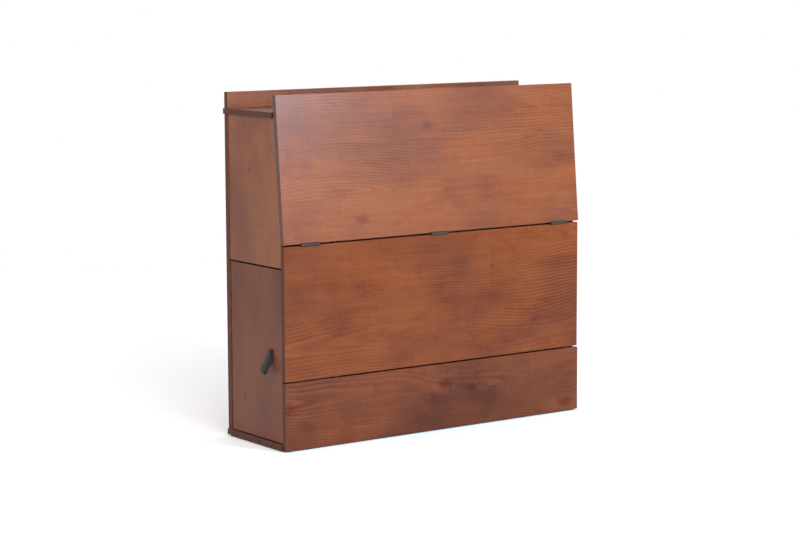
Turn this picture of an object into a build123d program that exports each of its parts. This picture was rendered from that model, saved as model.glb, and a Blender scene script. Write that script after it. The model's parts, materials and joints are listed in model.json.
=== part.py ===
from build123d import *
import math
import os

os.makedirs("parts", exist_ok=True)

# Wall bed folded into a pine cabinet. Millimetres; origin on the floor under the cabinet's centre,
# +X to the right seen from the front, +Y to the wall, +Z up. It is drawn closed.

# ---- cabinet ----
WIDTH = 1168.0            # front boards and back panel, end to end
DEPTH = 338.0             # front boards' face to the wall
HEIGHT = 1100.0           # floor to the flap's top
BOARD = 18.0              # pine board thickness
THIN_BOARD = 15.0         # boards inside the cabinet
GLIDE_HEIGHT = 5.0
LEFT_INSET = 2.0          # side panels stand back from the front boards' ends
RIGHT_INSET = 7.0
TOP_OVERHANG = 5.5
BASE_OVERHANG = 4.5
SIDE_GROOVE = 2.5         # shadow groove between a fixed side panel and the back panel
DOOR_GROOVE = 7.0         # wider beside the door, for its hinges
ARRIS = 1.2               # rounded edges of the boards
FIT = 1.2                 # gap between boards that only meet

front_y = -DEPTH / 2
wall_y = DEPTH / 2
front_back_y = front_y + BOARD
back_front_y = wall_y - BOARD
half_width = WIDTH / 2
left_outer = -half_width + LEFT_INSET
left_inner = left_outer + BOARD
right_outer = half_width - RIGHT_INSET
right_inner = right_outer - BOARD
side_front_y = front_back_y + FIT
side_rear_y = back_front_y - SIDE_GROOVE
door_rear_y = back_front_y - DOOR_GROOVE
base_top = GLIDE_HEIGHT + BOARD
top_board_top = 1047.0
top_board_bottom = top_board_top - BOARD
upstand_top = 1098.0       # board that stands on the top board, at the wall
side_seam_z = 568.0
side_gap = 2.5            # half of the gap at the side seam

# ---- front boards ----
front_bottom_z = 4.0
lower_seam_z = 218.0
flap_seam_z = 641.0       # also the height of the flap's hinge axis
seam_gap = 2.5            # half of the gap at a front seam
mid_top_z = 638.0
flap_setback = 40.0       # how far the flap's top leans back
flap_tilt = math.atan(flap_setback / (HEIGHT - flap_seam_z))
flap_foot = 2.7           # flap's lower edge above the hinge line, along the slope

# ---- flap hinges ----
HINGE_LENGTH = 66.0
HINGE_X = (-490.0, 4.0, 497.0)
hinge_y = front_y - 1.5
BARREL_R = 4.5
PIN_R = 2.2
RUNNING = 0.05            # radial clearance of a running fit
LEAF = 1.5
LEAF_END = 2.0            # the leaves stop short of the boards' rear faces
HINGE_PIN_HEAD = 1.2
KNUCKLES = 5
KNUCKLE_GAP = 0.2         # each knuckle is this much short at both ends

# ---- bed pack ----
BED_WIDTH = 900.0
bed_left = -367.5
bed_right = bed_left + BED_WIDTH
RAIL = 22.0
pack_y = 6.0              # plane between the two frames
frame_gap = 24.0
pivot_z = 140.0
apex_z = 1003.0           # centre fold's axis
head_y = pack_y + frame_gap / 2 + RAIL / 2
foot_y = pack_y - frame_gap / 2 - RAIL / 2
rail_bottom = pivot_z - 90.0
rail_top = apex_z - 3.0
MATTRESS = 80.0
mattress_inset = 10.0
mattress_top = apex_z - 1.0
mattress_gap = 1.0
MATTRESS_ROUND = 12.0
PIVOT_R = 6.0
SLAT_COUNT = 10
SLAT_WIDTH = 60.0
SLAT = 12.0
APEX_ROD_R = 4.0
APEX_BARREL_R = 7.0
APEX_STRAP = 2.4
LEG_X = (-320.0, 480.0)
LEG_R = 7.0

# ---- locker on the left ----
partition_right = -394.0
partition_left = partition_right - THIN_BOARD
locker_left = left_inner + 1.0
post_width = 17.0
post_front_y = 125.0
locker_front_y = side_front_y + THIN_BOARD
locker_top_z = 574.0
shelf_z = 300.0
niche_shelf_z = 800.0

# ---- carriage ----
WHEEL_R = 20.0
wheel_y = front_back_y + WHEEL_R + 1.5
cleat_bottom = 45.0
CLEAT = 20.0


def block(x0, x1, y0, y1, z0, z1):
    """Add a box between two corners to the part that is being built."""
    with Locations(((x0 + x1) / 2, (y0 + y1) / 2, (z0 + z1) / 2)):
        Box(x1 - x0, y1 - y0, z1 - z0)


def rod_x(x0, x1, y, z, radius, mode=Mode.ADD):
    """Add or cut a round bar along X."""
    with Locations(Location(((x0 + x1) / 2, y, z), (0, 90, 0))):
        Cylinder(radius, x1 - x0, mode=mode)


def rod_z(x, y, z0, z1, radius, mode=Mode.ADD):
    """Add or cut a round bar along Z."""
    with Locations((x, y, (z0 + z1) / 2)):
        Cylinder(radius, z1 - z0, mode=mode)


def on_slope(along, inward):
    """Point (y, z) measured up the flap's face and into its thickness."""
    y = front_y + along * math.sin(flap_tilt) + inward * math.cos(flap_tilt)
    z = flap_seam_z + along * math.cos(flap_tilt) - inward * math.sin(flap_tilt)
    return (y, z)


def save(builder, name):
    """Label a finished sub-part and write it."""
    builder.part.label = name
    export_step(builder.part, f"parts/{name}.step")


# =============================== cabinet ===============================

wall_hole_z = 985.0
wall_hole_x = 500.0
wall_hole_r = 4.0

with BuildPart() as back_panel:
    block(-half_width, half_width, back_front_y, wall_y, base_top, top_board_bottom)
    fillet(back_panel.edges(), ARRIS)
    for x in (-wall_hole_x, wall_hole_x):
        with Locations(Location((x, wall_y - BOARD / 2, wall_hole_z), (90, 0, 0))):
            Cylinder(wall_hole_r, 2 * BOARD, mode=Mode.SUBTRACT)
save(back_panel, "back_panel")

with BuildPart() as back_upstand:
    block(-half_width, half_width, back_front_y, wall_y, top_board_top, upstand_top)
    fillet(back_upstand.edges(), ARRIS)
save(back_upstand, "back_upstand")

flap_inner_at_top = on_slope((top_board_top - flap_seam_z) / math.cos(flap_tilt), BOARD)[0]

with BuildPart() as top_board:
    top_half = half_width + TOP_OVERHANG
    block(-top_half, top_half, flap_inner_at_top + 2 * FIT, wall_y, top_board_bottom, top_board_top)
    fillet(top_board.edges(), ARRIS)
save(top_board, "top_board")

notch_half = 13.5          # cut-outs that let the casters in under the base board's level
notch_depth = 92.0
caster_x = (bed_left - notch_half, right_inner - notch_half + 0.5)
with BuildPart() as base_board:
    base_half = half_width + BASE_OVERHANG
    block(-base_half, base_half, side_front_y, wall_y, GLIDE_HEIGHT, base_top)
    fillet(base_board.edges(), ARRIS)
    for x in caster_x:
        with Locations((x, side_front_y, GLIDE_HEIGHT + BOARD / 2)):
            Box(2 * notch_half - 1, notch_depth, 2 * BOARD, mode=Mode.SUBTRACT)
save(base_board, "base_board")

glide_radius = 14.0
glide_inset = 90.0
with BuildPart() as floor_glides:
    with Locations((0, 0, GLIDE_HEIGHT / 2)):
        Cylinder(glide_radius, GLIDE_HEIGHT)
    with Locations((0, 0, GLIDE_HEIGHT / 2)):
        with GridLocations(WIDTH - 2 * glide_inset, DEPTH - 2 * glide_inset, 2, 2):
            Cylinder(glide_radius, GLIDE_HEIGHT)
save(floor_glides, "floor_glides")


def side_outline(z0, z1):
    """Side panel seen from the side; its front edge follows the flap above the seam."""
    sloped_y = on_slope((z1 - flap_seam_z) / math.cos(flap_tilt), BOARD)[0] + FIT
    Polyline(
        (side_front_y, z0),
        (side_rear_y, z0),
        (side_rear_y, z1),
        (sloped_y, z1),
        (side_front_y, flap_seam_z),
        close=True,
    )


upper_sides = (("upper_side_left", left_inner, -1), ("upper_side_right", right_inner, 1))
for name, inner_x, sign in upper_sides:
    with BuildPart() as upper_side:
        with BuildSketch(Plane.YZ.offset(inner_x)):
            with BuildLine():
                side_outline(side_seam_z + side_gap, top_board_bottom)
            make_face()
        extrude(amount=sign * BOARD)
        fillet(upper_side.edges(), ARRIS)
    save(upper_side, name)

with BuildPart() as lower_side_right:
    block(right_inner, right_outer, side_front_y, side_rear_y, base_top, side_seam_z - side_gap)
    fillet(lower_side_right.edges(), ARRIS)
save(lower_side_right, "lower_side_right")

partition_front_y = locker_front_y + 1
sloped_front_y = partition_front_y + (top_board_bottom - flap_seam_z) * math.tan(flap_tilt)
with BuildPart() as locker_partition:
    with BuildSketch(Plane.YZ.offset(partition_left)):
        with BuildLine():
            Polyline(
                (partition_front_y, base_top),
                (back_front_y, base_top),
                (back_front_y, top_board_bottom),
                (sloped_front_y, top_board_bottom),
                (partition_front_y, flap_seam_z),
                close=True,
            )
        make_face()
    extrude(amount=THIN_BOARD)
save(locker_partition, "locker_partition")

with BuildPart() as locker_top:
    block(locker_left, partition_left, side_front_y, post_front_y, locker_top_z - BOARD, locker_top_z)
save(locker_top, "locker_top")

with BuildPart() as locker_front:
    block(locker_left, partition_left, side_front_y, locker_front_y, base_top, locker_top_z - BOARD)
save(locker_front, "locker_front")

with BuildPart() as locker_shelf:
    block(locker_left, partition_left, locker_front_y, post_front_y, shelf_z, shelf_z + THIN_BOARD)
save(locker_shelf, "locker_shelf")

niche_shelf_front = -90.0
with BuildPart() as niche_shelf:
    block(locker_left, partition_left, niche_shelf_front, post_front_y,
          niche_shelf_z, niche_shelf_z + THIN_BOARD)
save(niche_shelf, "niche_shelf")

with BuildPart() as corner_posts:
    for x0 in (locker_left, right_inner - 1 - post_width):
        block(x0, x0 + post_width, post_front_y, back_front_y, base_top, top_board_bottom)
save(corner_posts, "corner_posts")

wall_rail_y = 130.0
wall_rail_z = 990.0
with BuildPart() as wall_rail:
    block(partition_right, right_inner - 1 - post_width, wall_rail_y, back_front_y,
          wall_rail_z, top_board_bottom)
save(wall_rail, "wall_rail")

catch_half = 20.0
flap_catch_y = (-111.0, -90.0)
flap_catch_height = 14.0
with BuildPart() as flap_catches:
    for x in (-300, 300):
        block(x - catch_half, x + catch_half, *flap_catch_y,
              top_board_bottom - flap_catch_height, top_board_bottom)
save(flap_catches, "flap_catches")

PLATE = 6.0
bracket_half = 20.0
bracket_top = pivot_z + 32
with BuildPart() as pivot_brackets:
    for x0 in (partition_right, right_inner - PLATE):
        block(x0, x0 + PLATE, head_y - bracket_half, head_y + bracket_half, base_top, bracket_top)
        rod_x(x0 - 1, x0 + PLATE + 1, head_y, pivot_z, PIVOT_R, mode=Mode.SUBTRACT)
save(pivot_brackets, "pivot_brackets")

pin_reach = 18.0
with BuildPart() as head_pivot_pins:
    rod_x(partition_right, bed_left + pin_reach, head_y, pivot_z, PIVOT_R)
    rod_x(bed_right - pin_reach, right_inner, head_y, pivot_z, PIVOT_R)
save(head_pivot_pins, "head_pivot_pins")

screw_radius = 4.0
screw_head = 2.0
screw_offset = 12.0
with BuildPart() as bracket_screws:
    for face_x, sign in ((partition_right + PLATE, 1), (right_inner - PLATE, -1)):
        screw_x = face_x + sign * screw_head / 2
        for z in (45, 95, 163):
            for y in (head_y - screw_offset, head_y + screw_offset):
                rod_x(screw_x - screw_head / 2, screw_x + screw_head / 2, y, z, screw_radius)
save(bracket_screws, "bracket_screws")

# =============================== side door ===============================

door_bottom = base_top + 2.5
door_top = side_seam_z - side_gap
door_axis = (left_outer + 2.8, door_rear_y + 3.6)
DOOR_BARREL_R = 2.8
DOOR_PIN_R = 1.3
DOOR_HINGE = 54.0
door_third = DOOR_HINGE / 3
door_hinge_z = (120.0, 470.0)
door_leaf_x = (left_outer + 5.5, left_inner - 2)

with BuildPart() as side_door:
    block(left_outer, left_inner, side_front_y, door_rear_y, door_bottom, door_top)
    fillet(side_door.edges(), ARRIS)
save(side_door, "side_door")


def door_barrels(first, last):
    """Barrels of both door hinges that belong to one leaf, thirds of the hinge's height."""
    for z in door_hinge_z:
        for index in range(first, last, 2):
            z0 = z + index * door_third
            rod_z(*door_axis, z0 + KNUCKLE_GAP, z0 + door_third - KNUCKLE_GAP, DOOR_BARREL_R)


def door_bores():
    """Cut the pin's way through both door hinges."""
    for z in door_hinge_z:
        rod_z(*door_axis, z - 1, z + DOOR_HINGE + 1, DOOR_PIN_R + RUNNING, mode=Mode.SUBTRACT)


leaf_thickness = 1.2
neck_offset = 1.0         # strip from leaf to barrel, measured from the board's face
neck_end = door_leaf_x[0] + 1
with BuildPart() as door_hinge_outer:
    door_barrels(1, 2)
    for z in door_hinge_z:
        block(*door_leaf_x, door_rear_y, door_rear_y + leaf_thickness, z, z + DOOR_HINGE)
        neck_y = door_rear_y + neck_offset
        block(door_axis[0], neck_end, neck_y, neck_y + leaf_thickness,
              z + door_third + KNUCKLE_GAP, z + 2 * door_third - KNUCKLE_GAP)
    door_bores()
save(door_hinge_outer, "door_hinge_outer")

with BuildPart() as door_hinge_inner:
    door_barrels(0, 3)
    for z in door_hinge_z:
        block(*door_leaf_x, back_front_y - leaf_thickness, back_front_y, z, z + DOOR_HINGE)
        neck_y = back_front_y - neck_offset
        for z0 in (z, z + 2 * door_third):
            block(door_axis[0], neck_end, neck_y - leaf_thickness, neck_y,
                  z0 + KNUCKLE_GAP, z0 + door_third - KNUCKLE_GAP)
    door_bores()
save(door_hinge_inner, "door_hinge_inner")

pin_head = 1.5
with BuildPart() as door_hinge_pins:
    for z in door_hinge_z:
        rod_z(*door_axis, z, z + DOOR_HINGE, DOOR_PIN_R)
        for z0 in (z - pin_head, z + DOOR_HINGE):
            rod_z(*door_axis, z0, z0 + pin_head, DOOR_BARREL_R - 0.2)
save(door_hinge_pins, "door_hinge_pins")

# Leather loop: a strap folded double under one screw, whose fold stands off the door
pull_y = front_y + 81.0
pull_screw_z = 305.0
PULL_WIDTH = 20.0
pull_face = left_outer - 7.0      # outer face of the doubled strap under the screw
strap_outside = ((0, 312), (0, 275), (15, 242), (24, 236), (33, 239), (36, 250), (7, 298), (7, 312))
strap_inside = ((3.2, 288), (3.2, 275), (17.5, 244.5), (24.5, 239.2), (31, 242), (32.5, 250), (6.5, 288))


def pull_outline(points):
    """Closed outline in the plane across the strap; points are (stand-off, height)."""
    Polyline([(left_outer - stand_off, z) for stand_off, z in points], close=True)


with BuildPart() as leather_pull:
    with BuildSketch(Plane.XZ.offset(-pull_y - PULL_WIDTH / 2)):
        with BuildLine():
            pull_outline(strap_outside)
        make_face()
        with BuildLine():
            pull_outline(strap_inside)
        make_face(mode=Mode.SUBTRACT)
    extrude(amount=PULL_WIDTH)
save(leather_pull, "leather_pull")

pull_screw_r = 5.5
pull_screw_head = 3.0
with BuildPart() as pull_screw:
    rod_x(pull_face - pull_screw_head, pull_face, pull_y, pull_screw_z, pull_screw_r)
    fillet(pull_screw.faces().sort_by(Axis.X)[0].edges(), 2.0)
save(pull_screw, "pull_screw")

door_catch_x = (locker_left + 0.4, locker_left + 16)
door_catch_y = (-125.0, -95.0)
door_catch_height = 12.0
door_catch_top = locker_top_z - BOARD
with BuildPart() as door_catch:
    block(*door_catch_x, *door_catch_y, door_catch_top - door_catch_height, door_catch_top)
save(door_catch, "door_catch")

# =============================== front carriage ===============================


def cut_hinge_seats():
    """Cut the round seats of the flap hinges' barrels out of a board."""
    for x in HINGE_X:
        seat_half = HINGE_LENGTH / 2 + 2
        rod_x(x - seat_half, x + seat_half, hinge_y, flap_seam_z, BARREL_R + 1, mode=Mode.SUBTRACT)


with BuildPart() as bottom_front_board:
    block(-half_width, half_width, front_y, front_back_y, front_bottom_z, lower_seam_z - seam_gap)
    fillet(bottom_front_board.edges(), ARRIS)
save(bottom_front_board, "bottom_front_board")

mid_right = half_width - 3        # a little short of the boards above and below
with BuildPart() as mid_front_board:
    block(-half_width, mid_right, front_y, front_back_y, lower_seam_z + seam_gap, mid_top_z)
    fillet(mid_front_board.edges(), ARRIS)
    cut_hinge_seats()
save(mid_front_board, "mid_front_board")

cleat_gap = 3.5           # between a cleat and the bed's side rail
cleat_top = 598.0
cleat_x = (bed_left - cleat_gap - CLEAT, bed_right + cleat_gap)
with BuildPart() as front_cleats:
    for x0 in cleat_x:
        block(x0, x0 + CLEAT, front_back_y, front_back_y + CLEAT, cleat_bottom, cleat_top)
save(front_cleats, "front_cleats")

arm_end_y = foot_y + 13
arm_half = 3.0
arm_half_height = 15.0
foot_plate = 4.0
foot_plate_half = 40.0
plate_y = front_back_y + CLEAT
with BuildPart() as carriage_arms:
    for x0 in cleat_x:
        middle = x0 + CLEAT / 2
        block(x0, x0 + CLEAT, plate_y, plate_y + foot_plate,
              pivot_z - foot_plate_half, pivot_z + foot_plate_half)
        block(middle - arm_half, middle + arm_half, plate_y + foot_plate, arm_end_y,
              pivot_z - arm_half_height, pivot_z + arm_half_height)
        rod_x(middle - arm_half - 1, middle + arm_half + 1, foot_y, pivot_z, PIVOT_R, mode=Mode.SUBTRACT)
save(carriage_arms, "carriage_arms")

with BuildPart() as foot_pivot_pins:
    rod_x(cleat_x[0] + 7, bed_left + pin_reach, foot_y, pivot_z, PIVOT_R)
    rod_x(bed_right - pin_reach, cleat_x[1] + 13, foot_y, pivot_z, PIVOT_R)
save(foot_pivot_pins, "foot_pivot_pins")

CHEEK = 3.0
cheek_half = 9.0
fork_bottom = WHEEL_R - 8
fork_crown = cleat_bottom - 2
AXLE_R = 3.0
with BuildPart() as caster_forks:
    for x0 in cleat_x:
        block(x0, x0 + CLEAT, front_back_y + 1, wheel_y + 12, fork_crown, cleat_bottom)
        for cheek_x in (x0, x0 + CLEAT - CHEEK):
            block(cheek_x, cheek_x + CHEEK, wheel_y - cheek_half, wheel_y + cheek_half,
                  fork_bottom, fork_crown)
            rod_x(cheek_x - 1, cheek_x + CHEEK + 1, wheel_y, WHEEL_R, AXLE_R, mode=Mode.SUBTRACT)
save(caster_forks, "caster_forks")

with BuildPart() as caster_axles:
    for x0 in cleat_x:
        rod_x(x0, x0 + CLEAT, wheel_y, WHEEL_R, AXLE_R)
save(caster_axles, "caster_axles")

with BuildPart() as caster_wheels:
    for x0 in cleat_x:
        rod_x(x0 + CHEEK + 1, x0 + CLEAT - CHEEK - 1, wheel_y, WHEEL_R, WHEEL_R)
        rod_x(x0, x0 + CLEAT, wheel_y, WHEEL_R, AXLE_R + RUNNING, mode=Mode.SUBTRACT)
save(caster_wheels, "caster_wheels")

# =============================== flap ===============================

flap_length = (HEIGHT - flap_seam_z) / math.cos(flap_tilt)
with BuildPart() as flap_board:
    with BuildSketch(Plane.YZ.offset(-half_width)):
        with BuildLine():
            Polyline(
                on_slope(flap_foot, 0),
                on_slope(flap_foot, BOARD),
                on_slope(flap_length, BOARD),
                on_slope(flap_length, 0),
                close=True,
            )
        make_face()
    extrude(amount=WIDTH)
    fillet(flap_board.edges(), ARRIS)
    cut_hinge_seats()
save(flap_board, "flap_board")


def flap_barrels(x, first):
    """Every other knuckle of one flap hinge, counted from its left end."""
    pitch = HINGE_LENGTH / KNUCKLES
    for index in range(first, KNUCKLES, 2):
        x0 = x - HINGE_LENGTH / 2 + index * pitch
        rod_x(x0 + KNUCKLE_GAP, x0 + pitch - KNUCKLE_GAP, hinge_y, flap_seam_z, BARREL_R)


def cut_flap_leaf(x, first):
    """Clear the leaf away beside the other leaf's knuckles and along the pin."""
    pitch = HINGE_LENGTH / KNUCKLES
    for index in range(first, KNUCKLES, 2):
        x0 = x - HINGE_LENGTH / 2 + index * pitch
        rod_x(x0 - 0.1, x0 + pitch + 0.1, hinge_y, flap_seam_z, BARREL_R + 0.5, mode=Mode.SUBTRACT)
    half = HINGE_LENGTH / 2 + 1
    rod_x(x - half, x + half, hinge_y, flap_seam_z, PIN_R + RUNNING, mode=Mode.SUBTRACT)


with BuildPart() as flap_hinge_lower:
    for x in HINGE_X:
        half = HINGE_LENGTH / 2
        flap_barrels(x, 0)
        block(x - half, x + half, hinge_y, front_back_y - LEAF_END, mid_top_z, mid_top_z + LEAF)
        cut_flap_leaf(x, 1)
save(flap_hinge_lower, "flap_hinge_lower")

with BuildPart() as flap_hinge_upper:
    for x in HINGE_X:
        half = HINGE_LENGTH / 2
        flap_barrels(x, 1)
        with BuildSketch(Plane.YZ.offset(x - half)):
            with BuildLine():
                Polyline(
                    on_slope(flap_foot, BOARD - LEAF_END),
                    on_slope(flap_foot - LEAF, BOARD - LEAF_END),
                    on_slope(flap_foot - LEAF, -LEAF),
                    on_slope(flap_foot, -LEAF),
                    close=True,
                )
            make_face()
        extrude(amount=HINGE_LENGTH)
        cut_flap_leaf(x, 0)
save(flap_hinge_upper, "flap_hinge_upper")

with BuildPart() as flap_hinge_pins:
    for x in HINGE_X:
        half = HINGE_LENGTH / 2
        rod_x(x - half, x + half, hinge_y, flap_seam_z, PIN_R)
        for x0 in (x - half - HINGE_PIN_HEAD, x + half):
            rod_x(x0, x0 + HINGE_PIN_HEAD, hinge_y, flap_seam_z, BARREL_R - 0.8)
save(flap_hinge_pins, "flap_hinge_pins")

# =============================== bed frames ===============================

cross_left = bed_left + RAIL
cross_right = bed_right - RAIL
slat_pitch = (rail_top - rail_bottom - 2 * RAIL) / SLAT_COUNT

# side is +1 for the head frame, whose mattress faces the wall, and -1 for the foot frame
for prefix, y, side, mattress_bottom in (("head", head_y, 1, 68.0), ("foot", foot_y, -1, 60.0)):
    with BuildPart() as rails:
        for x0 in (bed_left, cross_right):
            block(x0, x0 + RAIL, y - RAIL / 2, y + RAIL / 2, rail_bottom, rail_top)
            rod_x(x0 - 1, x0 + RAIL + 1, y, pivot_z, PIVOT_R + RUNNING, mode=Mode.SUBTRACT)
    save(rails, f"{prefix}_side_rails")

    with BuildPart() as crossbars:
        for z0 in (rail_bottom, rail_top - RAIL):
            block(cross_left, cross_right, y - RAIL / 2, y + RAIL / 2, z0, z0 + RAIL)
    save(crossbars, f"{prefix}_end_rails")

    with BuildPart() as slats:
        slat_y = y + side * (RAIL - SLAT) / 2
        for index in range(SLAT_COUNT):
            z = rail_bottom + RAIL + (index + 0.5) * slat_pitch
            block(cross_left, cross_right, slat_y - SLAT / 2, slat_y + SLAT / 2,
                  z - SLAT_WIDTH / 2, z + SLAT_WIDTH / 2)
    save(slats, f"{prefix}_slats")

    with BuildPart() as mattress:
        near = y + side * (RAIL / 2 + mattress_gap)
        far = near + side * MATTRESS
        block(bed_left + mattress_inset, bed_right - mattress_inset, min(near, far), max(near, far),
              mattress_bottom, mattress_top)
        fillet(mattress.edges(), MATTRESS_ROUND)
    save(mattress, f"{prefix}_mattress")

    # Corner hinges of the centre fold: three knuckles, the middle one on the foot frame
    with BuildPart() as apex_hinges:
        knuckle = RAIL / 3
        strap_end = y + side * 9
        for x0 in (bed_left, cross_right):
            block(x0, x0 + RAIL, min(pack_y, strap_end), max(pack_y, strap_end),
                  rail_top, rail_top + APEX_STRAP)
            for index in range(3):
                mine = (index == 1) == (side < 0)
                k0 = x0 + index * knuckle
                if mine:
                    rod_x(k0 + KNUCKLE_GAP, k0 + knuckle - KNUCKLE_GAP, pack_y, apex_z, APEX_BARREL_R)
                else:
                    rod_x(k0 - KNUCKLE_GAP, k0 + knuckle + KNUCKLE_GAP, pack_y, apex_z,
                          APEX_BARREL_R + 1, mode=Mode.SUBTRACT)
            rod_x(x0 - 1, x0 + RAIL + 1, pack_y, apex_z, APEX_ROD_R + RUNNING, mode=Mode.SUBTRACT)
    save(apex_hinges, f"{prefix}_apex_hinges")

with BuildPart() as apex_rod:
    rod_x(bed_left, bed_right, pack_y, apex_z, APEX_ROD_R)
save(apex_rod, "apex_rod")

# =============================== middle leg ===============================

FOOT_HEIGHT = 12.0
open_apex_z = pivot_z - (head_y - pack_y)     # the fold axis' height when the bed lies open
leg_bottom = apex_z - open_apex_z
leg_eye_half = 9.0
with BuildPart() as leg_posts:
    for x in LEG_X:
        rod_z(x, pack_y, leg_bottom + FOOT_HEIGHT, apex_z, LEG_R)
        rod_x(x - leg_eye_half, x + leg_eye_half, pack_y, apex_z, LEG_R + 1)
        rod_x(x - leg_eye_half - 1, x + leg_eye_half + 1, pack_y, apex_z, APEX_ROD_R + RUNNING,
              mode=Mode.SUBTRACT)
save(leg_posts, "leg_posts")

crossbar_half = 5.0
crossbar_bottom = leg_bottom + 24
crossbar_top = leg_bottom + 40
with BuildPart() as leg_crossbar:
    block(LEG_X[0] + LEG_R - 0.5, LEG_X[1] - LEG_R + 0.5, pack_y - crossbar_half, pack_y + crossbar_half,
          crossbar_bottom, crossbar_top)
save(leg_crossbar, "leg_crossbar")

with BuildPart() as leg_feet:
    for x in LEG_X:
        rod_z(x, pack_y, leg_bottom, leg_bottom + FOOT_HEIGHT, LEG_R + 2)
save(leg_feet, "leg_feet")
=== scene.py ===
import json
import math

import bmesh
import bpy
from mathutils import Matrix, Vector


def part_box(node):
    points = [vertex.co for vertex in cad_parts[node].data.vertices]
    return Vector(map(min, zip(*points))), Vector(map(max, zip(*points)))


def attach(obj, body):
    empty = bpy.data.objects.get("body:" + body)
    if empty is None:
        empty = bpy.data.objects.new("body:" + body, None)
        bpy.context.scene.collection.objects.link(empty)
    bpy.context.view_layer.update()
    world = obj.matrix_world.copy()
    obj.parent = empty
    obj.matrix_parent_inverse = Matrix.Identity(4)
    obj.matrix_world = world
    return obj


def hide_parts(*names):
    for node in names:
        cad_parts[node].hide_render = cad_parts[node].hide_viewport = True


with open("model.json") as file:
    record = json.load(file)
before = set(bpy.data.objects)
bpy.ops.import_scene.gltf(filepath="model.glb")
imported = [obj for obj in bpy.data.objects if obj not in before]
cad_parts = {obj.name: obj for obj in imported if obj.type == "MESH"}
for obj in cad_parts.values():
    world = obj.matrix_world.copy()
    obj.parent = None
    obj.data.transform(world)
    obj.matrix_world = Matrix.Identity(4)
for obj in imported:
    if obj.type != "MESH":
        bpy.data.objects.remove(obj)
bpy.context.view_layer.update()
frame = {"nodes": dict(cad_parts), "record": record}
nodes = frame["nodes"]

# ---------------------------------------------------------------------------
# Camera, floor and light
# ---------------------------------------------------------------------------

CAMERA_AT = (-4.267, -5.927, 1.470)
CAMERA_YAW = math.radians(35.6)       # from +Y towards +X
CAMERA_PITCH = math.radians(-7.44)
CAMERA_ROLL = math.radians(0.23)
CAMERA_LENS = 101.65


def add_camera():
    data = bpy.data.cameras.new("camera")
    data.lens = CAMERA_LENS
    data.sensor_width = 36
    camera = bpy.data.objects.new("camera", data)
    camera.location = CAMERA_AT
    camera.rotation_euler = (math.pi / 2 + CAMERA_PITCH, CAMERA_ROLL, -CAMERA_YAW)
    bpy.context.scene.collection.objects.link(camera)
    bpy.context.scene.camera = camera


def add_light(name, at, target, size, watts, colour=(1, 1, 1)):
    data = bpy.data.lights.new(name, "AREA")
    data.shape = "RECTANGLE"
    data.size, data.size_y = size
    data.energy = watts
    data.color = colour
    light = bpy.data.objects.new(name, data)
    light.location = at
    light.rotation_euler = (Vector(target) - Vector(at)).to_track_quat("-Z", "Y").to_euler()
    bpy.context.scene.collection.objects.link(light)


def add_world(strength):
    world = bpy.data.worlds.new("studio")
    world.use_nodes = True
    background = world.node_tree.nodes["Background"]
    background.inputs["Color"].default_value = (1.0, 1.0, 1.0, 1.0)
    background.inputs["Strength"].default_value = strength
    bpy.context.scene.world = world


# ---------------------------------------------------------------------------
# A small helper that writes shader nodes as expressions
# ---------------------------------------------------------------------------

class Net:
    """Node tree of one material; each method adds a node and returns its output."""

    def __init__(self, name):
        self.material = bpy.data.materials.new(name)
        self.material.use_nodes = True
        self.tree = self.material.node_tree
        self.shader = self.tree.nodes["Principled BSDF"]

    def node(self, kind, *sources, **settings):
        node = self.tree.nodes.new(kind)
        for key, value in settings.items():
            setattr(node, key, value)
        for index, source in enumerate(sources):
            self.feed(node.inputs[index], source)
        return node

    def feed(self, socket, source):
        if source is None:
            return
        if isinstance(source, bpy.types.NodeSocket):
            self.tree.links.new(source, socket)
        else:
            socket.default_value = source

    def math(self, operation, a, b=None):
        return self.node("ShaderNodeMath", a, b, operation=operation).outputs[0]

    def add(self, a, b):
        return self.math("ADD", a, b)

    def times(self, a, b):
        return self.math("MULTIPLY", a, b)

    def coordinates(self):
        """Object coordinates in metres, split into x, y and z."""
        point = self.node("ShaderNodeTexCoord").outputs["Object"]
        return self.node("ShaderNodeSeparateXYZ", point).outputs

    def vector(self, x, y, z):
        return self.node("ShaderNodeCombineXYZ", x, y, z).outputs[0]

    def noise(self, point, scale=(1, 1, 1), detail=2.0, roughness=0.5, distortion=0.0):
        placed = self.node("ShaderNodeVectorMath", point, scale, operation="MULTIPLY").outputs[0]
        node = self.node("ShaderNodeTexNoise", placed)
        node.inputs["Scale"].default_value = 1.0
        node.inputs["Detail"].default_value = detail
        node.inputs["Roughness"].default_value = roughness
        node.inputs["Distortion"].default_value = distortion
        return node.outputs["Fac"]

    def ramp(self, value, low, high, to_low=0.0, to_high=1.0):
        """Smooth step of value between low and high."""
        node = self.tree.nodes.new("ShaderNodeMapRange")
        node.interpolation_type = "SMOOTHSTEP"
        for socket, source in zip(node.inputs, (value, low, high, to_low, to_high)):
            self.feed(socket, source)
        return node.outputs[0]

    def mix(self, factor, a, b, blend="MIX"):
        node = self.tree.nodes.new("ShaderNodeMix")
        node.data_type = "RGBA"
        node.blend_type = blend
        self.feed(node.inputs[0], factor)
        self.feed(node.inputs[6], a)
        self.feed(node.inputs[7], b)
        return node.outputs[2]

    def bump(self, height, distance, strength=1.0):
        node = self.tree.nodes.new("ShaderNodeBump")
        node.inputs["Strength"].default_value = strength
        node.inputs["Distance"].default_value = distance
        self.feed(node.inputs["Height"], height)
        self.tree.links.new(node.outputs[0], self.shader.inputs["Normal"])

    def surface(self, colour=None, roughness=None, **constants):
        self.feed(self.shader.inputs["Base Color"], colour)
        self.feed(self.shader.inputs["Roughness"], roughness)
        for key, value in constants.items():
            self.shader.inputs[key.replace("_", " ")].default_value = value
        return self.material


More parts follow.
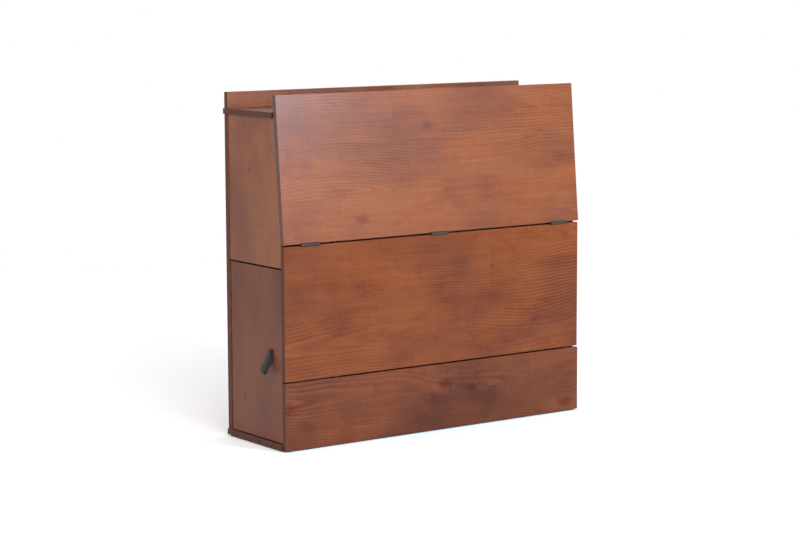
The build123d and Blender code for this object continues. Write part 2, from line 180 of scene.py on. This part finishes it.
def rgb(red, green, blue):
    """Colour with screen values from 0 to 255, as a linear shader colour."""
    def linear(value):
        value /= 255
        return value / 12.92 if value <= 0.04045 else ((value + 0.055) / 1.055) ** 2.4
    return (linear(red), linear(green), linear(blue), 1.0)


def dimmed(colour, factor):
    """The same colour, darker."""
    return tuple(factor * channel for channel in colour[:3]) + (1.0,)


# ---------------------------------------------------------------------------
# Wood
# ---------------------------------------------------------------------------

STAVE_WIDTH = 0.128       # boards are glued up from staves, and staves from shorter blocks
STAVE_LENGTH = 0.46
WOOD_SPECULAR = 0.22      # a thin, matt stain
GRAIN_AXES = {"X": (0, 2, 1), "Z": (2, 1, 0), "FLAT": (0, 1, 2)}   # along, across, into the board


def board_coordinates(net, grain, seed):
    """Position along the grain and across it, and a point for noise."""
    xyz = net.coordinates()
    along, across, depth = (xyz[index] for index in GRAIN_AXES[grain])
    shifted = net.add(along, 3.7 * seed)
    return along, across, net.vector(shifted, across, net.add(depth, 1.3 * seed))


def end_grain(net, grain):
    """1 on the faces that cut across the grain, 0 elsewhere."""
    normal = net.node("ShaderNodeTexCoord").outputs["Normal"]
    parts = net.node("ShaderNodeSeparateXYZ", normal).outputs
    facing = net.math("ABSOLUTE", parts[GRAIN_AXES[grain][0]])
    return net.ramp(facing, 0.55, 0.9)


def knot_field(net, along, across, knots):
    """How far knots push the rings aside, and their dark and bright marks."""
    push, dark, halo = 0.0, 0.0, 0.0
    ragged = net.noise(net.vector(along, across, 0.0), (70.0, 110.0, 1.0), 3.0, 0.6)
    ragged = net.times(net.add(ragged, -0.5), 2.4)
    for knot_along, knot_across, radius, depth in knots:
        du = net.math("DIVIDE", net.math("SUBTRACT", along, knot_along), radius * 1.7)
        dv = net.math("DIVIDE", net.math("SUBTRACT", across, knot_across), radius)
        du, dv = net.add(du, ragged), net.math("SUBTRACT", dv, ragged)
        squared = net.add(net.times(du, du), net.times(dv, dv))
        near = net.math("EXPONENT", net.times(squared, -0.12))
        sign = net.math("TANH", net.times(dv, 0.7))
        push = net.add(push, net.times(net.times(near, sign), radius * 0.9))
        dark = net.math("MAXIMUM", dark, net.times(net.math("EXPONENT", net.times(squared, -1.6)), depth))
        ring = net.math("EXPONENT", net.times(net.math("ABSOLUTE", net.add(squared, -1.3)), -2.2))
        halo = net.math("MAXIMUM", halo, net.times(ring, depth))
    return push, dark, halo


def wood(name, grain, seed, colours, knots, pith, end_colour, ring=0.0092,
         contrast=1.0, roughness=0.36, coat=0.0):
    """Stained or plain pine: growth rings round a drifting pith, fibres, blotches and knots."""
    net = Net(name)
    deep, middle, bright = colours
    along, across, point = board_coordinates(net, grain, seed)
    push, dark_knot, halo = knot_field(net, along, across, knots)

    stave = net.math("FLOOR", net.math("DIVIDE", net.add(across, 0.013 * seed), STAVE_WIDTH))
    stave_chance = net.node("ShaderNodeTexWhiteNoise", net.vector(stave, 0.37 * seed, 0.0),
                            noise_dimensions="3D").outputs["Value"]
    block = net.math("FLOOR", net.add(net.math("DIVIDE", along, STAVE_LENGTH), net.times(stave_chance, 5.0)))
    block_chance = net.node("ShaderNodeTexWhiteNoise", net.vector(stave, block, 0.61 * seed),
                            noise_dimensions="3D").outputs["Value"]
    block_point = net.node("ShaderNodeVectorMath", point, net.vector(0.0, 0.0, net.times(block_chance, 0.05)),
                           operation="ADD").outputs[0]

    drift = net.times(net.add(net.noise(point, (1.3, 1.1, 1.0), 1.0), -0.5), 0.12)
    wobble = net.times(net.add(net.noise(point, (5.5, 11.0, 4.0), 2.0), -0.5), 0.020)
    pith_across, pith_depth, pith_slope = pith
    sideways = net.add(net.add(net.add(across, -pith_across), net.add(drift, wobble)), push)
    below = net.add(net.add(net.times(along, pith_slope), pith_depth), net.times(drift, 0.6))
    radius = net.math("SQRT", net.add(net.times(sideways, sideways), net.times(below, below)))
    spacing = net.noise(point, (0.3, 9.0, 1.0), 1.0)
    phase = net.add(net.math("DIVIDE", radius, ring), net.times(spacing, 1.5))
    fraction = net.math("FRACT", phase)
    rise = net.ramp(fraction, 0.15, 0.86)
    fall = net.ramp(fraction, 0.90, 1.0, 1.0, 0.0)
    rings = net.times(rise, fall)

    patchy = net.ramp(net.noise(point, (1.9, 6.5, 2.0), 2.0), 0.38, 0.68, 0.15, 1.0)
    rings = net.times(rings, patchy)
    fibres = net.noise(point, (9.0, 620.0, 620.0), 2.0, 0.6)
    streaks = net.ramp(net.noise(block_point, (2.6, 75.0, 50.0), 4.0, 0.62), 0.30, 0.70)
    blotch = net.ramp(net.noise(block_point, (7.0, 17.0, 6.0), 4.0, 0.62, 0.8), 0.50, 0.68)
    mottle = net.ramp(net.noise(point, (85.0, 16.0, 13.0), 3.0, 0.6, 0.6), 0.30, 0.70)
    cloud = net.ramp(net.noise(block_point, (2.6, 4.5, 4.0), 3.0, 0.55), 0.34, 0.68)

    colour = net.mix(cloud, middle, deep)
    colour = net.mix(net.times(rings, 0.55 * contrast), colour, bright)
    tone = net.add(0.89, net.times(streaks, 0.15 * contrast))
    tone = net.add(tone, net.times(fibres, 0.16 * contrast))
    tone = net.add(tone, net.times(mottle, 0.09 * contrast))
    tone = net.add(tone, net.times(block_chance, 0.05 * contrast))
    tone = net.math("SUBTRACT", tone, net.times(blotch, 0.20 * contrast))
    tone = net.math("SUBTRACT", tone, net.times(dark_knot, 0.52))
    tone = net.add(tone, net.times(halo, 0.08))
    grey = net.vector(tone, net.times(tone, tone), net.times(tone, net.times(tone, tone)))
    colour = net.mix(1.0, colour, grey, "MULTIPLY")

    ends = end_grain(net, grain)
    pores = net.noise(point, (300.0, 300.0, 300.0), 2.0)
    dots = net.mix(net.ramp(pores, 0.35, 0.65), end_colour, dimmed(end_colour, 0.6))
    colour = net.mix(ends, colour, dots)
    gloss = net.add(roughness, net.times(net.add(streaks, -0.5), 0.16))
    gloss = net.add(gloss, net.times(ends, 0.2))
    height = net.add(net.times(fibres, 0.5), net.times(rings, -0.35))
    net.bump(height, 0.0004, 0.28)
    return net.surface(colour, gloss, Coat_Weight=coat, Coat_Roughness=0.25,
                       Specular_IOR_Level=WOOD_SPECULAR)


FLAP_PINE = (rgb(102, 45, 16), rgb(124, 58, 18), rgb(155, 83, 26))
# the flap's pine stain darkened: painted shade for the upright mid board, which gets less light than the
# tilted flap
SHADED_MID_PINE = (rgb(90, 38, 15), rgb(113, 52, 17), rgb(152, 79, 25))
LOW_PINE = (rgb(76, 33, 17), rgb(103, 49, 23), rgb(137, 70, 32))
# one side-panel stain in two copies: the upper panels' copy is brightened with painted light from above; the
# door's copy, also used on the lower right side and the top and base boards, is darkened with painted shade
LIT_UPPER_PINE = (rgb(101, 57, 39), rgb(123, 73, 47), rgb(145, 89, 56))
SHADED_DOOR_PINE = (rgb(81, 41, 26), rgb(100, 53, 32), rgb(118, 65, 39))
BACK_PINE = (rgb(102, 54, 34), rgb(128, 70, 43), rgb(156, 88, 52))
END_PINE = rgb(78, 40, 31)
RAW_PINE = (rgb(196, 158, 110), rgb(214, 178, 128), rgb(188, 138, 84))
BIRCH = (rgb(208, 176, 130), rgb(222, 194, 150), rgb(200, 164, 116))
RAW_END = rgb(170, 128, 84)
BIRCH_END = rgb(180, 146, 104)

# knots: along the grain, across it, radius, how dark
FLAP_KNOTS = (
    (-0.02, 0.985, 0.017, 0.65), (-0.09, 1.085, 0.006, 0.6), (0.21, 0.78, 0.042, 0.36),
    (-0.29, 0.705, 0.018, 0.75), (0.07, 0.79, 0.030, 0.22), (-0.49, 0.88, 0.022, 0.3),
    (-0.37, 1.065, 0.003, 1.0), (-0.52, 0.845, 0.003, 0.9), (0.44, 0.95, 0.008, 0.5),
)
MID_KNOTS = (
    (-0.30, 0.49, 0.036, 0.36), (-0.40, 0.50, 0.030, 0.22), (0.22, 0.52, 0.008, 0.5),
    (0.53, 0.60, 0.010, 0.5), (0.40, 0.33, 0.016, 0.3),
)
LOW_KNOTS = (
    (0.03, 0.150, 0.021, 0.95), (-0.01, 0.105, 0.024, 0.6), (0.13, 0.125, 0.016, 0.9),
    (0.53, 0.034, 0.019, 1.0), (-0.57, 0.135, 0.024, 0.6), (-0.5, 0.07, 0.02, 0.3),
    (0.20, 0.10, 0.045, 0.25),
)
BACK_KNOTS = ((-0.35, 0.42, 0.018, 0.8), (0.28, 0.71, 0.014, 0.8), (0.08, 0.22, 0.016, 0.7),
              (-0.12, 0.93, 0.010, 0.7), (0.47, 0.33, 0.012, 0.8))
DOOR_KNOTS = ((0.44, -0.02, 0.012, 0.4), (0.15, 0.07, 0.010, 0.5))
UPPER_KNOTS = ((0.86, 0.03, 0.010, 0.45), (0.70, -0.04, 0.007, 0.4))


def paint(name, material):
    """Give a CAD node its finished material."""
    data = nodes[name].data
    data.materials.clear()
    data.materials.append(material)


def paint_cabinet():
    boards = (              # name, grain, seed, colours, knots, pith, ring contrast
        ("flap_board", "X", 6, FLAP_PINE, FLAP_KNOTS, (0.80, 0.02, 0.06), 0.55),
        ("mid_front_board", "X", 5, SHADED_MID_PINE, MID_KNOTS, (0.30, 0.010, 0.06), 0.58),
        ("bottom_front_board", "X", 14, LOW_PINE, LOW_KNOTS, (0.16, 0.05, 0.03), 0.6),
        ("back_upstand", "X", 24, BACK_PINE, (), (1.0, 0.03, 0.07), 0.9),
        ("back_panel", "X", 21, BACK_PINE, BACK_KNOTS, (0.6, 0.04, 0.07), 0.9),
        ("top_board", "FLAT", 27, SHADED_DOOR_PINE, (), (0.02, 0.02, 0.05), 0.6),
        ("base_board", "FLAT", 31, SHADED_DOOR_PINE, (), (0.05, 0.03, 0.04), 0.6),
        ("upper_side_left", "Z", 37, LIT_UPPER_PINE, UPPER_KNOTS, (0.02, 0.10, 0.05), 0.35),
        ("upper_side_right", "Z", 43, LIT_UPPER_PINE, UPPER_KNOTS, (0.05, 0.08, 0.06), 0.35),
        ("side_door", "Z", 49, SHADED_DOOR_PINE, DOOR_KNOTS, (-0.03, 0.06, 0.07), 0.35),
        ("lower_side_right", "Z", 55, SHADED_DOOR_PINE, DOOR_KNOTS, (0.01, 0.05, 0.05), 0.35),
    )
    for name, grain, seed, colours, knots, pith, contrast in boards:
        paint(name, wood(name + "_stain", grain, seed, colours, knots, pith, END_PINE,
                         contrast=contrast, coat=0.5 if name == "flap_board" else 0.0))


def paint_inside():
    inner = (
        ("locker_partition", "Z", 61), ("locker_top", "FLAT", 63), ("locker_front", "Z", 65),
        ("locker_shelf", "FLAT", 67), ("niche_shelf", "FLAT", 69), ("corner_posts", "Z", 71),
        ("wall_rail", "X", 73), ("front_cleats", "Z", 75), ("head_side_rails", "Z", 77),
        ("head_end_rails", "X", 79), ("foot_side_rails", "Z", 81), ("foot_end_rails", "X", 83),
    )
    for name, grain, seed in inner:
        paint(name, wood(name + "_pine", grain, seed, RAW_PINE, (), (0.1, 0.06, 0.04), RAW_END,
                         contrast=0.8, roughness=0.55))
    for name, seed in (("head_slats", 85), ("foot_slats", 87)):
        paint(name, wood(name + "_birch", "X", seed, BIRCH, (), (0.2, 0.2, 0.02), BIRCH_END,
                         ring=0.004, contrast=0.5, roughness=0.5, coat=0.05))


# ---------------------------------------------------------------------------
# Metal, rubber, plastic, leather, fabric
# ---------------------------------------------------------------------------

def metal(name, colour, roughness, metallic):
    net = Net(name)
    xyz = net.coordinates()
    point = net.vector(xyz[0], xyz[1], xyz[2])
    brush = net.noise(point, (300.0, 60.0, 60.0), 3.0, 0.6)
    cloud = net.noise(point, (25.0, 25.0, 25.0), 3.0)
    tint = net.mix(net.ramp(cloud, 0.35, 0.7), colour, dimmed(colour, 0.72))
    gloss = net.add(roughness, net.times(net.add(brush, -0.5), 0.25))
    net.bump(net.add(brush, net.times(cloud, 0.5)), 0.0002, 0.25)
    return net.surface(tint, gloss, Metallic=metallic)


def moulded(name, colour, roughness):
    net = Net(name)
    xyz = net.coordinates()
    point = net.vector(xyz[0], xyz[1], xyz[2])
    grain = net.noise(point, (900.0, 900.0, 900.0), 2.0)
    dust = net.ramp(net.noise(point, (40.0, 40.0, 40.0), 3.0), 0.45, 0.75)
    tint = net.mix(net.times(dust, 0.35), colour, tuple(c + 0.03 for c in colour[:3]) + (1.0,))
    net.bump(grain, 0.0003, 0.3)
    return net.surface(tint, net.add(roughness, net.times(grain, 0.12)))


def leather():
    net = Net("dark_leather")
    xyz = net.coordinates()
    point = net.vector(xyz[0], xyz[1], xyz[2])
    pebbles = net.node("ShaderNodeTexVoronoi", point, feature="DISTANCE_TO_EDGE")
    pebbles.inputs["Scale"].default_value = 900.0
    creases = net.ramp(pebbles.outputs["Distance"], 0.0, 0.25)
    cloud = net.noise(point, (60.0, 60.0, 60.0), 3.0, 0.6)
    tint = net.mix(net.ramp(cloud, 0.35, 0.7), rgb(46, 37, 33), rgb(66, 54, 48))
    # painted shade: the colour darkens in the creases of the grain, on top of their bump
    tint = net.mix(net.times(net.math("SUBTRACT", 1.0, creases), 0.5), tint, rgb(29, 23, 21))
    net.bump(net.add(creases, net.times(cloud, 0.6)), 0.0005, 0.5)
    return net.surface(tint, net.add(0.48, net.times(cloud, 0.15)), Specular_IOR_Level=0.25)


def ticking():
    """Woven mattress cover: warp and weft threads with a soft heathered tone."""
    net = Net("mattress_ticking")
    xyz = net.coordinates()
    point = net.vector(xyz[0], xyz[1], xyz[2])
    thread = 2 * math.pi / 0.0022
    warp = net.math("SINE", net.times(xyz[0], thread))
    weft = net.math("SINE", net.times(xyz[2], thread))
    weave = net.times(warp, weft)
    slub = net.noise(point, (30.0, 60.0, 500.0), 3.0)
    cloud = net.noise(point, (9.0, 9.0, 9.0), 2.0)
    tint = net.mix(net.ramp(slub, 0.3, 0.7), rgb(184, 177, 163), rgb(203, 197, 184))
    tint = net.mix(net.times(net.ramp(weave, -0.2, 0.9), 0.35), tint, rgb(164, 157, 143))
    tint = net.mix(net.times(net.ramp(cloud, 0.45, 0.7), 0.25), tint, rgb(170, 163, 150))
    net.bump(net.add(weave, net.times(slub, 0.8)), 0.0006, 0.5)
    return net.surface(tint, 0.85, Sheen_Weight=0.3, Sheen_Roughness=0.5)


def paint_hardware():
    iron = metal("blackened_iron", rgb(47, 37, 33), 0.55, 0.2)
    steel = metal("zinc_plate", rgb(176, 178, 180), 0.34, 0.9)
    black = metal("black_lacquer", rgb(38, 38, 40), 0.4, 0.2)
    rubber = moulded("dark_rubber", rgb(36, 36, 37), 0.7)
    plastic = moulded("dark_plastic", rgb(52, 50, 48), 0.5)
    finishes = {"hinge_iron": iron, "zinc_steel": steel, "black_steel": black,
                "black_rubber": rubber, "dark_plastic": plastic}
    for entry in frame["record"]["subparts"]:
        if entry["material_slot"] in finishes:
            paint(entry["node"], finishes[entry["material_slot"]])
    paint("pull_screw", iron)


# ---------------------------------------------------------------------------
# Pieces
# ---------------------------------------------------------------------------

def new_piece(name, mesh_builder, material, body):
    """Make an object from a bmesh, shaded smooth, that rides on a body."""
    data = bpy.data.meshes.new(name)
    mesh_builder.to_mesh(data)
    mesh_builder.free()
    data.materials.append(material)
    for face in data.polygons:
        face.use_smooth = True
    piece = bpy.data.objects.new(name, data)
    bpy.context.scene.collection.objects.link(piece)
    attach(piece, body)
    return piece


def apply_modifiers(piece):
    """Keep the evaluated mesh and drop every modifier."""
    graph = bpy.context.evaluated_depsgraph_get()
    data = bpy.data.meshes.new_from_object(piece.evaluated_get(graph))
    piece.modifiers.clear()
    piece.data = data


def strap_loop(material):
    """Leather strap folded double: two tails under the screw, legs that part, a round fold."""
    low, high = (Vector(corner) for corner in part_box("leather_pull"))
    thickness = 0.0028
    wall, middle_y = high.x, (low.y + high.y) / 2
    top, bottom = high.z, low.z
    inner = ((0.0016, top), (0.0016, top - 0.014), (0.0020, top - 0.028), (0.0045, top - 0.040),
             (0.0125, top - 0.053), (0.0200, bottom + 0.0090))
    fold = ((0.0255, bottom + 0.0026), (0.0310, bottom + 0.0042))
    outer = ((0.0340, bottom + 0.0130), (0.0290, bottom + 0.0270), (0.0180, top - 0.033),
             (0.0090, top - 0.018), (0.0050, top - 0.009), (0.0047, top))
    route = [(wall - stand_off, z) for stand_off, z in smooth_route(inner + fold + outer, 6)]
    half = (high.y - low.y) / 2
    mesh = bmesh.new()
    rows = []
    for index, (x, z) in enumerate(route):
        before, after = route[max(index - 1, 0)], route[min(index + 1, len(route) - 1)]
        normal = Vector((after[1] - before[1], 0, before[0] - after[0])).normalized()
        drop = (top - z) / (top - bottom)
        width = half * (0.93 + 0.07 * math.sin(math.pi * drop))
        lean = 0.0015 * math.sin(2.2 * drop)
        row = []
        for side_y, side_n in section_of_strap(width, thickness / 2):
            cup = 0.0006 * (side_y / width) ** 2
            at = Vector((x, middle_y + side_y + lean, z)) + normal * (side_n + cup)
            row.append(mesh.verts.new(at))
        rows.append(row)
    count = len(rows[0])
    for first, second in zip(rows, rows[1:]):
        for index in range(count):
            after = (index + 1) % count
            mesh.faces.new((first[index], first[after], second[after], second[index]))
    mesh.faces.new(rows[0][::-1])
    mesh.faces.new(rows[-1])
    bmesh.ops.recalc_face_normals(mesh, faces=mesh.faces)
    piece = new_piece("leather_strap", mesh, material, "side_door")
    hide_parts("leather_pull")
    return piece


def section_of_strap(half_width, half_thickness):
    """Strap section with rounded edges, as points across the width and the thickness."""
    points = []
    edge = half_width - half_thickness
    for start, centre in ((-math.pi / 2, edge), (math.pi / 2, -edge)):
        for step in range(5):
            angle = start + math.pi * step / 4
            points.append((centre + half_thickness * math.cos(angle), half_thickness * math.sin(angle)))
        flat = 4
        for step in range(1, flat):
            across = centre * (1 - 2 * step / flat)
            points.append((across, half_thickness if start < 0 else -half_thickness))
    return points


def smooth_route(points, steps):
    """Catmull-Rom curve through points in a plane."""
    route = []
    padded = (points[0],) + tuple(points) + (points[-1],)
    for a, b, c, d in zip(padded, padded[1:], padded[2:], padded[3:]):
        for step in range(steps):
            t = step / steps
            route.append(tuple(
                0.5 * (2 * b[k] + (c[k] - a[k]) * t + (2 * a[k] - 5 * b[k] + 4 * c[k] - d[k]) * t * t
                       + (3 * b[k] - a[k] - 3 * c[k] + d[k]) * t ** 3)
                for k in range(2)))
    route.append(points[-1])
    return route


# ---------------------------------------------------------------------------
# Mattress halves
# ---------------------------------------------------------------------------

VOXEL = 0.011
SWELL_START = 0.006       # the block starts this much smaller than its space
SWELL_CAP = 0.010
SWELL_FRAMES = 15
FACE_BAND = 0.022         # points this near the lying face take part in the quilting
PIPING_RADIUS = 0.0035
CHANNELS_ACROSS = 5
CHANNELS_ALONG = 6
CHANNEL_DEPTH = 0.007
CHANNEL_WIDTH = 0.011


def mattress_half(node, body, material, face_sign):
    """Foam block in a cover: shaped by a short cloth run, then pressed with sewn channels."""
    low, high = (Vector(corner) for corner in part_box(node))
    low += Vector((1, 1, 1)) * SWELL_START
    high -= Vector((1, 1, 1)) * SWELL_START
    mesh = bmesh.new()
    bmesh.ops.create_cube(mesh, size=1.0)
    centre, extent = (low + high) / 2, high - low
    for vertex in mesh.verts:
        vertex.co = Vector(centre[k] + vertex.co[k] * extent[k] for k in range(3))
    bmesh.ops.bevel(mesh, geom=mesh.edges[:], offset=0.014, segments=3, affect="EDGES", profile=0.5)
    piece = new_piece(node + "_cushion", mesh, material, body)
    remesh = piece.modifiers.new("remesh", "REMESH")
    remesh.mode = "VOXEL"
    remesh.voxel_size = VOXEL
    apply_modifiers(piece)
    swell(piece, low, high)
    subdivide = piece.modifiers.new("smooth", "SUBSURF")
    subdivide.levels = subdivide.render_levels = 1
    apply_modifiers(piece)
    sew_channels(piece, low, high, face_sign)
    for polygon in piece.data.polygons:
        polygon.use_smooth = True
    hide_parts(node)
    return piece


def swell(piece, low, high):
    """Push the faces out and draw the sides in with a short cloth run under pressure.

    The cloth doesn't settle: nearly every point moves much further than SWELL_CAP. Only the
    direction of its movement is kept, for the length of the cap, inside the mattress's space.
    """
    start = [vertex.co.copy() for vertex in piece.data.vertices]
    cloth = piece.modifiers.new("cloth", "CLOTH")
    cloth.settings.quality = 4
    cloth.settings.use_pressure = True
    cloth.settings.uniform_pressure_force = 4.0
    cloth.settings.effector_weights.gravity = 0
    cloth.settings.tension_stiffness = 12
    cloth.settings.compression_stiffness = 12
    scene = bpy.context.scene
    for number in range(1, SWELL_FRAMES + 1):
        scene.frame_set(number)
    apply_modifiers(piece)
    scene.frame_set(1)
    for vertex, origin in zip(piece.data.vertices, start):
        move = vertex.co - origin
        if move.length > SWELL_CAP:
            move *= SWELL_CAP / move.length
        at = origin + move
        for axis in range(3):
            at[axis] = min(max(at[axis], low[axis] - 0.6 * SWELL_START), high[axis] + 0.6 * SWELL_START)
        vertex.co = at


def sew_channels(piece, low, high, face_sign):
    """Press quilting lines into the lying face of the mattress."""
    face_y = high.y if face_sign > 0 else low.y
    for vertex in piece.data.vertices:
        at = vertex.co
        if abs(at.y - face_y) > FACE_BAND:
            continue
        depth = 0.0
        for axis, count in ((0, CHANNELS_ACROSS), (2, CHANNELS_ALONG)):
            pitch = (high[axis] - low[axis]) / count
            offset = (at[axis] - low[axis]) / pitch
            nearest = round(offset)
            if 0 < nearest < count:
                away = abs(offset - nearest) * pitch
                depth = max(depth, math.exp(-(away / CHANNEL_WIDTH) ** 2))
        at.y -= face_sign * CHANNEL_DEPTH * depth


def piping(node, body, material, name):
    """Piped seams round both faces of a mattress half.

    They follow the outline of the mattress's space, so they stand off the drawn-in sides.
    """
    low, high = (Vector(corner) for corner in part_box(node))
    inset, corner = 0.011, 0.03
    for tag, y in (("near", low.y + inset), ("far", high.y - inset)):
        route = []
        x0, x1 = low.x + 0.0045, high.x - 0.0045
        z0, z1 = low.z + 0.0045, high.z - 0.0045
        for cx, cz, start in ((x1 - corner, z1 - corner, 0), (x0 + corner, z1 - corner, 90),
                              (x0 + corner, z0 + corner, 180), (x1 - corner, z0 + corner, 270)):
            for step in range(7):
                angle = math.radians(start + 15 * step)
                route.append((cx + corner * math.cos(angle), y, cz + corner * math.sin(angle)))
        curve = bpy.data.curves.new(f"{name}_{tag}", "CURVE")
        curve.dimensions = "3D"
        curve.bevel_depth = PIPING_RADIUS
        curve.bevel_resolution = 3
        spline = curve.splines.new("POLY")
        spline.points.add(len(route) - 1)
        for point, at in zip(spline.points, route):
            point.co = (*at, 1)
        spline.use_cyclic_u = True
        curve.materials.append(material)
        piece = bpy.data.objects.new(f"{name}_{tag}", curve)
        bpy.context.scene.collection.objects.link(piece)
        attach(piece, body)


# ---------------------------------------------------------------------------
# The scene
# ---------------------------------------------------------------------------

def add_floor():
    """Pale studio floor that glows a little far from the object, so its edge melts into white."""
    net = Net("pale_floor")
    xyz = net.coordinates()
    point = net.vector(xyz[0], xyz[1], xyz[2])
    cloud = net.noise(point, (0.6, 0.6, 0.6), 2.0)
    away = net.node("ShaderNodeVectorMath", point, operation="LENGTH").outputs["Value"]
    glow = net.ramp(away, 1.2, 5.0)
    tint = net.mix(cloud, (0.88, 0.88, 0.88, 1), (0.90, 0.90, 0.90, 1))
    tint = net.mix(glow, tint, (0.0, 0.0, 0.0, 1))
    net.feed(net.shader.inputs["Emission Strength"], glow)
    mesh = bmesh.new()
    bmesh.ops.create_grid(mesh, x_segments=1, y_segments=1, size=60.0)
    data = bpy.data.meshes.new("floor")
    mesh.to_mesh(data)
    mesh.free()
    data.materials.append(net.surface(tint, 0.8, Emission_Color=(1, 1, 1, 1), Specular_IOR_Level=0.0))
    floor = bpy.data.objects.new("floor", data)
    bpy.context.scene.collection.objects.link(floor)


add_camera()
add_world(1.0)
add_light("key", (-1.5, -4.5, 4.2), (0, 0, 0.6), (3.0, 2.2), 130)
add_light("sheen", (1.05, -3.65, 2.05), (-0.5, -0.15, 1.0), (0.8, 0.8), 150, (0.5, 0.76, 1.0))
add_light("side", (-3.6, 1.2, 2.4), (-0.58, 0, 0.5), (1.4, 1.4), 30)
bpy.context.scene.view_settings.view_transform = "Standard"
add_floor()

paint_cabinet()
paint_inside()
paint_hardware()
strap_loop(leather())
cover = ticking()
mattress_half("head_mattress", "head_frame", cover, 1)
mattress_half("foot_mattress", "foot_frame", cover, -1)
piping("head_mattress", "head_frame", cover, "head_piping")
piping("foot_mattress", "foot_frame", cover, "foot_piping")
